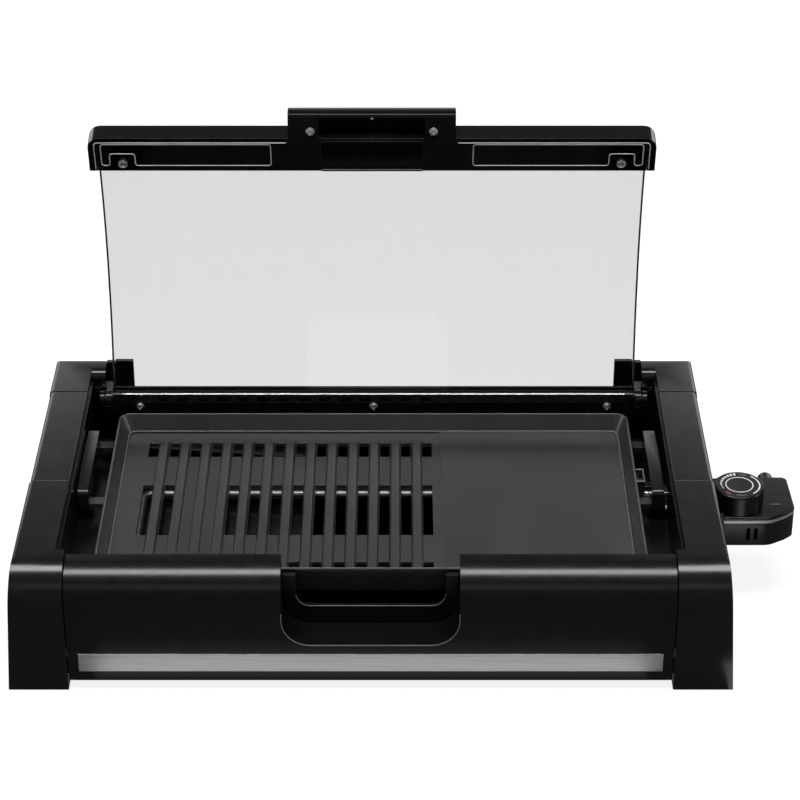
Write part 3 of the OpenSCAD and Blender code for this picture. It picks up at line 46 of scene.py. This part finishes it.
SHIFT = Vector((29.75, 121.5, 0.0))  # the row frame's origin, in those mm
HINGE = Vector((0.0, 243.0, 93.0))  # the lid's hinge axis
RECORD = frame["record"]
SLOT_OF = {s["node"]: s["material_slot"] for s in RECORD["subparts"]}
BODY_OF = {n: b for b, ns in RECORD["behaviour"]["bodies"].items() for n in ns}


def at(x, y, z):
    """The point of the row frame, in metres, at a place given in mm."""
    return (Vector((x, y, z)) - SHIFT) * MM


def on_lid(x, y, z):
    """A point of the closed lid about its hinge axis, where it is with the lid open."""
    return (Vector((x, z, -y)) + HINGE - SHIFT) * MM


def link(name, data):
    o = bpy.data.objects.new(name, data)
    bpy.context.scene.collection.objects.link(o)
    return o


# ---------------------------------------------------------------- materials
def new_material(name):
    m = bpy.data.materials.new(name)
    m.use_nodes = True
    nt = m.node_tree
    return m, nt, nt.nodes["Principled BSDF"]


def noise(nt, scale, detail=4.0, rough=0.5, stretch=(1.0, 1.0, 1.0)):
    """Noise in object space, in features per metre."""
    tc = nt.nodes.new("ShaderNodeTexCoord")
    mp = nt.nodes.new("ShaderNodeMapping")
    mp.inputs["Scale"].default_value = stretch
    tx = nt.nodes.new("ShaderNodeTexNoise")
    tx.inputs["Scale"].default_value = scale
    tx.inputs["Detail"].default_value = detail
    tx.inputs["Roughness"].default_value = rough
    nt.links.new(tc.outputs["Object"], mp.inputs["Vector"])
    nt.links.new(mp.outputs["Vector"], tx.inputs["Vector"])
    return tx.outputs["Fac"]


def ramp(nt, fac, low, high, lo_pos=0.3, hi_pos=0.7):
    """Noise between two positions, spread over the values from low to high."""
    r = nt.nodes.new("ShaderNodeMapRange")
    r.inputs["From Min"].default_value = lo_pos
    r.inputs["From Max"].default_value = hi_pos
    r.inputs["To Min"].default_value = low
    r.inputs["To Max"].default_value = high
    nt.links.new(fac, r.inputs["Value"])
    return r.outputs["Result"]


def mix_colour(nt, fac, a, b):
    m = nt.nodes.new("ShaderNodeMix")
    m.data_type = "RGBA"
    m.inputs[6].default_value = (*a, 1.0)
    m.inputs[7].default_value = (*b, 1.0)
    nt.links.new(fac, m.inputs[0])
    return m.outputs[2]


def bump(nt, bsdf, height, strength, distance):
    b = nt.nodes.new("ShaderNodeBump")
    b.inputs["Strength"].default_value = strength
    b.inputs["Distance"].default_value = distance
    nt.links.new(height, b.inputs["Height"])
    nt.links.new(b.outputs["Normal"], bsdf.inputs["Normal"])


def grey(value):
    return (value,) * 3


def plastic(name, dark, light, rough, grain, depth, spec):
    """Moulded plastic: two close tones, uneven gloss and a fine moulded grain."""
    m, nt, b = new_material(name)
    tone = noise(nt, 34.0, 5.0)
    nt.links.new(mix_colour(nt, ramp(nt, tone, 0.0, 1.0), dark, light), b.inputs["Base Color"])
    haze = noise(nt, 90.0, 6.0, 0.6)
    nt.links.new(ramp(nt, haze, rough * 0.88, rough * 1.14), b.inputs["Roughness"])
    bump(nt, b, noise(nt, grain, 3.0, 0.6), 0.35, depth)
    b.inputs["Specular IOR Level"].default_value = spec
    return m


def metal(name, dark, light, rough, stretch=(1.0, 1.0, 1.0), scale=400.0, depth=0.00001,
          aniso=0.0):
    """Metal with one noise for tone, gloss and surface; stretched, it looks brushed."""
    m, nt, b = new_material(name)
    streak = noise(nt, scale, 6.0, 0.65, stretch)
    nt.links.new(mix_colour(nt, ramp(nt, streak, 0.0, 1.0), dark, light), b.inputs["Base Color"])
    nt.links.new(ramp(nt, streak, rough * 0.8, rough * 1.25), b.inputs["Roughness"])
    bump(nt, b, streak, 0.3, depth)
    b.inputs["Metallic"].default_value = 1.0
    b.inputs["Anisotropic"].default_value = aniso
    return m


def coating():
    """Non-stick coating on die-cast metal: fine orange peel, faint specks, a soft sheen."""
    m, nt, b = new_material("coating")
    speck = noise(nt, 2600.0, 2.0, 0.5)
    cloud = noise(nt, 22.0, 4.0, 0.5)
    fac = nt.nodes.new("ShaderNodeMath")
    fac.operation = "MULTIPLY_ADD"
    nt.links.new(speck, fac.inputs[0])
    fac.inputs[1].default_value = 0.55
    nt.links.new(ramp(nt, cloud, 0.0, 0.45), fac.inputs[2])
    col = mix_colour(nt, fac.outputs[0], (0.014, 0.014, 0.0145), (0.028, 0.028, 0.0285))
    nt.links.new(col, b.inputs["Base Color"])
    nt.links.new(ramp(nt, cloud, 0.30, 0.36), b.inputs["Roughness"])
    bump(nt, b, noise(nt, 1500.0, 3.0, 0.6), 0.5, 0.00006)
    b.inputs["Specular IOR Level"].default_value = 0.62
    return m


def glass():
    """Lightly tinted clear glass with a faint uneven film."""
    m, nt, b = new_material("clear_glass")
    film = noise(nt, 6.0, 3.0, 0.5)
    col = mix_colour(nt, film, (0.685, 0.685, 0.68), (0.705, 0.705, 0.70))
    nt.links.new(col, b.inputs["Base Color"])
    b.inputs["Transmission Weight"].default_value = 1.0
    b.inputs["Roughness"].default_value = 0.0
    b.inputs["IOR"].default_value = 1.45
    b.inputs["Specular IOR Level"].default_value = 0.2
    return m


def plain(name, dark, light, rough):
    """A quiet surface for paint, rubber, ceramic and thin lines."""
    m, nt, b = new_material(name)
    tone = noise(nt, 60.0, 5.0)
    nt.links.new(mix_colour(nt, ramp(nt, tone, 0.0, 1.0), dark, light), b.inputs["Base Color"])
    nt.links.new(ramp(nt, tone, rough * 0.9, rough * 1.1), b.inputs["Roughness"])
    bump(nt, b, noise(nt, 720.0, 3.0), 0.4, 0.00002)
    b.inputs["Specular IOR Level"].default_value = 0.5
    return m


# By the record's material slots
MATERIALS = {
    "satin_black_plastic": plastic(
        "satin_black", grey(0.0055), grey(0.0075), rough=0.19, grain=2200.0, depth=0.00002,
        spec=0.42),
    "gloss_black_plastic": plastic(
        "gloss_black", grey(0.003), grey(0.0042), rough=0.24, grain=900.0, depth=0.00001,
        spec=0.4),
    "non_stick_coating": coating(),
    "black_enamel": plastic(
        "black_enamel", grey(0.003), grey(0.004), rough=0.2, grain=500.0, depth=0.00001,
        spec=0.3),
    "brushed_steel": metal(
        "brushed_steel", (0.50, 0.50, 0.51), (0.78, 0.78, 0.79), rough=0.42,
        stretch=(0.02, 1.0, 1.0), scale=900.0, depth=0.00002, aniso=0.4),
    "bright_steel": metal("bright_steel", (0.72, 0.72, 0.73), (0.92, 0.92, 0.93), rough=0.24),
    "heater_steel": metal("heater_steel", (0.10, 0.097, 0.095), (0.20, 0.195, 0.19), rough=0.40),
    "clear_glass": glass(),
    "black_rubber": plain("black_rubber", grey(0.012), grey(0.02), 0.7),
    "white_ceramic": plain("white_ceramic", (0.6, 0.58, 0.54), (0.72, 0.7, 0.66), 0.6),
    "contact_brass": metal("contact_brass", (0.55, 0.38, 0.13), (0.75, 0.56, 0.24), rough=0.3),
    "seal_grey_rubber": plain("seal_grey_rubber", grey(0.01), grey(0.015), 0.6),
}

# Finishes that differ from the slot's own
MIRROR_BLACK = plastic("mirror_black", grey(0.0025), grey(0.0035), rough=0.075, grain=300.0,
                       depth=0.000002, spec=0.55)
PAINT_WHITE = plain("white_paint", grey(0.55), grey(0.68), 0.5)
PAINT_GREY = plain("grey_paint", grey(0.10), grey(0.15), 0.5)
PAINT_RED = plain("red_paint", (0.14, 0.012, 0.02), (0.18, 0.02, 0.03), 0.5)
# Light grey paint on the lid strip's raised lines: a painted highlight along their edges.
PAINTED_HIGHLIGHT_LINE = plain("raised_line_painted_highlight", grey(0.62), grey(0.72), 0.25)
HANDLE_BLACK = plastic("handle_black", grey(0.003), grey(0.004), rough=0.13, grain=900.0,
                       depth=0.000005, spec=0.1)
# Pale grey for lines that stand in for edge highlights: a painted highlight.
EDGE_SHEEN = plain("edge_sheen", grey(0.13), grey(0.18), 0.3)
TRAY_GREY = plain("tray_grey", grey(0.055), grey(0.075), 0.32)
DARK_CERAMIC = plain("dark_ceramic", grey(0.03), grey(0.045), 0.5)
PIN_STEEL = metal("pin_steel", (0.16, 0.155, 0.15), (0.28, 0.275, 0.27), rough=0.3)
# Near-black paint for the glass's side edges: painted shade.
GLASS_EDGE_SHADE = plain("glass_edge_painted_shade", (0.02, 0.022, 0.021), (0.035, 0.037, 0.036), 0.2)
# Grey lighter than the coating, for painted highlights along the plate's edges.
PLATE_EDGE_HIGHLIGHT = plain("plate_edge_painted_highlight", grey(0.07), grey(0.10), 0.3)
PLATE_HANDLE = plastic("plate_handle", grey(0.005), grey(0.007), rough=0.22, grain=1600.0,
                       depth=0.00001, spec=0.4)
FINISH_OF = {
    "lid_front_trim": MIRROR_BLACK, "lid_front_strip": MIRROR_BLACK,
    "lid_rear_trim": MIRROR_BLACK, "lid_rear_clamp": MIRROR_BLACK,
    "lid_handle_bracket": HANDLE_BLACK, "lid_handle_grip": HANDLE_BLACK,
    "left_plate_handle": PLATE_HANDLE, "right_plate_handle": PLATE_HANDLE,
    "terminal_insulator": DARK_CERAMIC, "terminal_shroud": PIN_STEEL,
    "terminal_pins": PIN_STEEL, "contact_leaves": PIN_STEEL, "drip_tray": TRAY_GREY,
}


# ---------------------------------------------------------------- dressed CAD nodes
SHARP = math.radians(32.0)  # edges over this angle are rounded
FLAT = math.radians(0.6)  # faces within this angle are merged
WELD = 2e-6
ROUND_SEGMENTS = 2
FULL_WEIGHT = 100

# Flat faces with many holes keep their triangles, since they would not fill cleanly once merged
HOLED = ("grill_plate", "rear_panel", "bottom_cover", "basin", "control_upper_housing",
         "lid_front_strip")


def dress(node, width):
    """A copy of a CAD node's mesh with rounded edges, width in mm, in the node's place."""
    holed = node in HOLED
    me = frame["nodes"][node].data.copy()
    bm = bmesh.new()
    bm.from_mesh(me)
    bmesh.ops.remove_doubles(bm, verts=bm.verts, dist=WELD)
    if not holed:
        bmesh.ops.dissolve_limit(bm, angle_limit=FLAT, verts=bm.verts, edges=bm.edges)
    bm.normal_update()
    bm.to_mesh(me)
    bm.free()
    if me.attributes.get("custom_normal"):
        me.attributes.remove(me.attributes["custom_normal"])
    for p in me.polygons:
        p.use_smooth = True
    o = link(node + "_skin", me)
    me.materials.clear()
    me.materials.append(FINISH_OF.get(node, MATERIALS[SLOT_OF[node]]))
    bv = o.modifiers.new("round", "BEVEL")
    bv.width = width * MM
    bv.segments = ROUND_SEGMENTS
    bv.limit_method = "ANGLE"
    bv.angle_limit = SHARP
    bv.use_clamp_overlap = not holed
    bv.harden_normals = not holed
    bv.miter_outer = "MITER_ARC"
    if holed:
        wn = o.modifiers.new("flat_faces", "WEIGHTED_NORMAL")
        wn.mode = "FACE_AREA"
        wn.weight = FULL_WEIGHT
    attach(o, BODY_OF[node])
    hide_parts(node)


SMALL_ROUND = 0.3
ROUND_OF = {
    "front_panel": 1.2, "left_front_leg": 1.0, "right_front_leg": 1.0,
    "left_carry_grip": 0.9, "right_carry_grip": 0.9,
    "left_hinge_housing": 0.9, "right_hinge_housing": 0.9,
    "grill_plate": 0.35, "lid_front_trim": 1.0, "lid_handle_bracket": 1.0,
    "lid_handle_grip": 0.8, "lid_rear_trim": 0.7, "lid_rear_clamp": 0.7,
    "left_plate_handle": 1.2, "right_plate_handle": 1.2, "lid_glass": 0.4,
    "tray_front": 0.8, "control_lower_housing": 0.7, "control_upper_housing": 0.7,
    "knob": 0.5, "front_trim_strip": 0.2,
}
for node in frame["nodes"]:
    dress(node, ROUND_OF.get(node, SMALL_ROUND))


# ---------------------------------------------------------------- printed marks
PROUD = 0.06  # how far a printed mark stands off its face
SECTOR_STEP = 5.0  # degrees


def sector(bm, centre, r0, r1, a0, a1):
    """A flat ring sector facing up, angles in degrees."""
    n = max(2, int(abs(a1 - a0) / SECTOR_STEP))
    rows = []
    for i in range(n + 1):
        a = math.radians(a0 + (a1 - a0) * i / n)
        d = Vector((math.cos(a), math.sin(a), 0.0))
        rows.append([bm.verts.new(at(*(centre + d * r))) for r in (r0, r1)])
    for (a, b), (c, d) in zip(rows, rows[1:]):
        bm.faces.new((a, b, d, c))


def printed(name, body, material, sectors):
    bm = bmesh.new()
    for part in sectors:
        sector(bm, *part)
    me = bpy.data.meshes.new(name)
    bm.to_mesh(me)
    bm.free()
    me.materials.append(material)
    o = link(name, me)
    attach(o, body)


def knob_marks():
    """Rings, a scale that grows wider, small marks and a red off mark; no words."""
    top = Vector((294.5, 100.7, 98.0 + PROUD))
    printed("knob_rings", "knob", PAINT_WHITE,
            [(top, 10.4, 11.3, 0.0, 360.0), (top, 15.6, 16.8, -54.0, 50.0)])
    inner, narrow, growth, half = 13.8, 14.6, 0.28, 3.4
    printed("knob_scale", "knob", PAINT_WHITE,
            [(top, inner, narrow + growth * i, a - half, a + half)
             for i, a in enumerate(range(198, 96, -11))])
    half = 1.6
    printed("knob_small_marks", "knob", PAINT_GREY,
            [(top, 14.6, 16.4, a - half, a + half)
             for a in (66, 72, 78, 84, 258, 264, 270, 276, 282)])
    printed("knob_off_mark", "knob", PAINT_RED,
            [(top, 14.4, 16.8, 222.0, 240.0)])
    pointer = Vector((294.4, 99.7, 80.0 + PROUD))
    printed("control_pointer", "control", PAINT_GREY,
            [(pointer, 26.0, 34.0, -0.9, 0.9)])


# ---------------------------------------------------------------- lines, beads and fillets
STRIP_SLOPE = math.tan(math.radians(13.0))
STRIP_Y0, STRIP_Z0 = -212.02, 5.0  # inner edge of the front strip's face on the closed lid


def strip_point(x, y):
    """A point just proud of the front strip's face, from its place on the closed lid."""
    return on_lid(x, y, STRIP_Z0 + (y - STRIP_Y0) * STRIP_SLOPE)


def rounded(points, r, n=4):
    """A closed outline with its corners rounded."""
    out = []
    for i, p in enumerate(points):
        a, p, b = Vector(points[i - 1]), Vector(p), Vector(points[(i + 1) % len(points)])
        start = p + (a - p).normalized() * r
        end = p + (b - p).normalized() * r
        for k in range(n + 1):
            t = k / n
            out.append(start * (1 - t) ** 2 + p * 2 * t * (1 - t) + end * t ** 2)
    return out


def pressed_line(name, body, material, points, radius, closed=True):
    """A round line of the given radius in mm through points of the row frame."""
    cu = bpy.data.curves.new(name, "CURVE")
    cu.dimensions = "3D"
    cu.bevel_depth = radius * MM
    cu.bevel_resolution = 2
    sp = cu.splines.new("POLY")
    sp.points.add(len(points) - 1)
    for i, p in enumerate(points):
        sp.points[i].co = (*p, 1.0)
    sp.use_cyclic_u = closed
    cu.use_fill_caps = not closed
    cu.materials.append(material)
    o = link(name, cu)
    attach(o, body)


def strip_lines():
    """Raised lines on the front strip: an outline that steps round a screw, and the rim's; painted
    light grey as a painted highlight along them.
    """
    left, right, low, high = -218.2, -81.4, -238.2, -217.4
    step_left, step_right, step = -211.5, -191.0, -229.0
    outline = [(left, high), (left, low), (right, low), (right, high),
               (step_right, high), (step_right, step), (step_left, step), (step_left, high)]
    rim_x, rim_y, bend_r = -223.4, -239.8, 3.0
    bend = [(rim_x + bend_r * (1 - math.sin(a)), rim_y + bend_r * (1 - math.cos(a)))
            for a in (math.radians(15.0 * k) for k in range(7))]
    rim = [(-69.0, rim_y)] + bend + [(rim_x, -214.0)]
    for side, label in ((1, "left"), (-1, "right")):
        pts = [strip_point(side * x, y) for x, y in rounded(outline, 2.6)]
        pressed_line(label + "_strip_line", "lid", PAINTED_HIGHLIGHT_LINE, pts, 0.42)
        pts = [strip_point(side * x, y) for x, y in rim]
        pressed_line(label + "_rim_line", "lid", PAINTED_HIGHLIGHT_LINE, pts, 0.4,
                     closed=False)


def rear_clamp_painted_highlight():
    """Painted highlight: a bright steel bead along the rounded upper edge of the clamp, where the
    black plastic catches the light.
    """
    pts = [on_lid(x, -5.9, -2.5) for x in (-213.0, -210.0, 210.0, 213.0)]
    pressed_line("rear_clamp_painted_highlight", "lid", MATERIALS["bright_steel"], pts, 0.6,
                 closed=False)


def ring(x, y0, y1, z, r, n=5):
    """A closed path round the plate with rounded corners."""
    out = []
    corners = ((x - r, y1 - r, 0), (-x + r, y1 - r, 90), (-x + r, y0 + r, 180),
               (x - r, y0 + r, 270))
    for cx, cy, start in corners:
        for k in range(n + 1):
            a = math.radians(start + 90.0 * k / n)
            out.append(at(cx + r * math.cos(a), cy + r * math.sin(a), z))
    return out


def plate_edges():
    """A fillet at the foot of the bowl's wall and a thin bead on the rim, painted lighter than the
    coating: painted highlights along these edges.
    """
    foot = ring(206.6, 8.4, 222.6, z=72.9, r=6.0)
    pressed_line("plate_foot_fillet_highlight", "plate", PLATE_EDGE_HIGHLIGHT, foot, 0.7)
    rim = ring(213.9, 1.1, 229.9, z=85.95, r=9.0)
    pressed_line("plate_rim_highlight_bead", "plate", PLATE_EDGE_HIGHLIGHT, rim, 0.35)


def glass_edges():
    """Painted shade along the ground side edges of the glass: dark lines standing for the dark look
    these edges take from every side.
    """
    steps, inset, on_side, slack = 16, 0.35 * MM, 1e-4, 1e-6
    points = [v.co.copy() for v in frame["nodes"]["lid_glass"].data.vertices]
    mid = sum(p.x for p in points) / len(points)
    for label, sign in (("left", -1.0), ("right", 1.0)):
        end = max(sign * (p.x - mid) for p in points)
        side = sorted((p for p in points if sign * (p.x - mid) > end - on_side),
                      key=lambda p: p.z)
        low, high = side[0].z, side[-1].z
        path = []
        for k in range(steps):
            z0, z1 = (low + (high - low) * (k + i) / steps for i in (0, 1))
            group = [p for p in side if z0 - slack <= p.z <= z1 + slack]
            if len(group) > 1:
                middle = sum(group, Vector()) / len(group)
                path.append(middle + Vector((-inset * sign, 0.0, 0.0)))
        pressed_line(label + "_glass_edge", "lid", GLASS_EDGE_SHADE, path, 0.85,
                     closed=False)


def u_path(x, y, z_top, z_low, r):
    """A path round a U-shaped cut in a front face."""
    half = [(x, z_top)] + [(x - r + r * math.cos(a), z_low + r - r * math.sin(a))
                           for a in (math.radians(10.0 * k) for k in range(10))]
    return [at(px, y, pz) for px, pz in half] + [at(-px, y, pz) for px, pz in reversed(half)]


def cut_edges():
    """Painted highlight lines along the edges of the front recess, of the tray front's window and of
    the lid's grip.
    """
    recess = u_path(68.2, -38.55, z_top=70.0, z_low=41.5, r=22.0)
    pressed_line("recess_edge_line", "base", EDGE_SHEEN, recess, 0.42,
                 closed=False)
    window = u_path(57.8, -8.05, z_top=66.0, z_low=57.0, r=11.0)
    pressed_line("tray_window_line", "tray", EDGE_SHEEN, window, 0.38,
                 closed=False)
    # The grip's face rises with the strip's, from grip_low at its outer edge to its fold
    grip_low, grip_y, proud = -6.9, STRIP_Y0 - 0.8, 0.05
    fold_y, fold_z = grip_y - 3.0, grip_low + (grip_y + HINGE.y) * STRIP_SLOPE - 0.7
    fold = [on_lid(x, fold_y, fold_z - proud) for x in (-40.2, 40.2)]
    pressed_line("lid_grip_line", "lid", EDGE_SHEEN, fold, 0.35,
                 closed=False)


knob_marks()
strip_lines()
rear_clamp_painted_highlight()
plate_edges()
glass_edges()
cut_edges()


# ---------------------------------------------------------------- floor, light and camera
def area(name, location, target, size, power):
    d = bpy.data.lights.new(name, "AREA")
    d.shape = "RECTANGLE"
    d.size, d.size_y = size
    d.energy = power
    o = link(name, d)
    o.location = location
    o.rotation_mode = "QUATERNION"
    o.rotation_quaternion = (Vector(target) - Vector(location)).to_track_quat("-Z", "Y")
    return o


def floor():
    """A plain pale floor, bright by itself; it neither lights the part nor shows in its gloss."""
    me = bpy.data.meshes.new("floor")
    s = 6.0
    me.from_pydata([(-s, -s, 0), (s, -s, 0), (s, s, 0), (-s, s, 0)], [], [(0, 1, 2, 3)])
    o = link("floor", me)
    m, nt, b = new_material("floor_white")
    tone = noise(nt, 3.0, 2.0)
    nt.links.new(mix_colour(nt, tone, grey(0.24), grey(0.26)), b.inputs["Base Color"])
    b.inputs["Roughness"].default_value = 0.9
    b.inputs["Specular IOR Level"].default_value = 0.0
    b.inputs["Emission Color"].default_value = (1, 1, 1, 1)
    b.inputs["Emission Strength"].default_value = 0.86
    me.materials.append(m)
    o.visible_glossy = False
    o.visible_diffuse = False


scene = bpy.context.scene
scene.view_settings.view_transform = "Standard"
scene.view_settings.look = "None"
floor()
world = bpy.data.worlds.new("studio")
scene.world = world
world.use_nodes = True
background = world.node_tree.nodes["Background"]
background.inputs["Color"].default_value = (1, 1, 1, 1)
background.inputs["Strength"].default_value = 0.13

# Name, place, target, width and height in metres, power in watts. The two cards lie on the floor
# before the part and light its front from below.
LIGHTS = (
    ("back_panel", (0.0, 1.7, 0.49), (0.0, 0.0, 0.24), (3.2, 0.96), 16.0),
    ("top_softbox", (0.0, -0.22, 1.55), (0.0, -0.1, 0.1), (1.5, 0.42), 25.0),
    ("front_softbox", (0.0, -2.3, 1.55), (0.0, 0.0, 0.05), (1.4, 0.7), 1.5),
    ("floor_card", at(0.0, -70.0, 0.5), at(0.0, -70.0, 100.0), (0.43, 0.034), 0.026),
    ("control_card", at(312.0, -50.0, 0.5), at(312.0, -50.0, 100.0), (0.07, 0.06), 0.02),
    ("right_softbox", (1.9, -0.2, 0.7), (0.0, 0.0, 0.05), (0.5, 1.2), 6.0),
    ("left_softbox", (-1.9, -0.2, 0.7), (0.0, 0.0, 0.05), (0.5, 1.2), 6.0),
)
for row in LIGHTS:
    light = area(*row)
    light.visible_camera = False
    light.visible_transmission = light.name == "back_panel"  # the pale ground behind the glass

FOCAL_PX, PICTURE_PX, SENSOR = 2530.0, 800.0, 36.0
LOOK_DOWN = 31.0  # degrees below level, fitted to the picture
cam_data = bpy.data.cameras.new("camera")
cam_data.sensor_width = SENSOR
cam_data.lens = FOCAL_PX / PICTURE_PX * SENSOR
cam_data.clip_start, cam_data.clip_end = 0.05, 50.0
cam = link("camera", cam_data)
cam.location = at(22.5, -1602.4, 1200.5)
cam.rotation_euler = (math.radians(90.0 - LOOK_DOWN), 0.0, 0.0)
scene.camera = cam
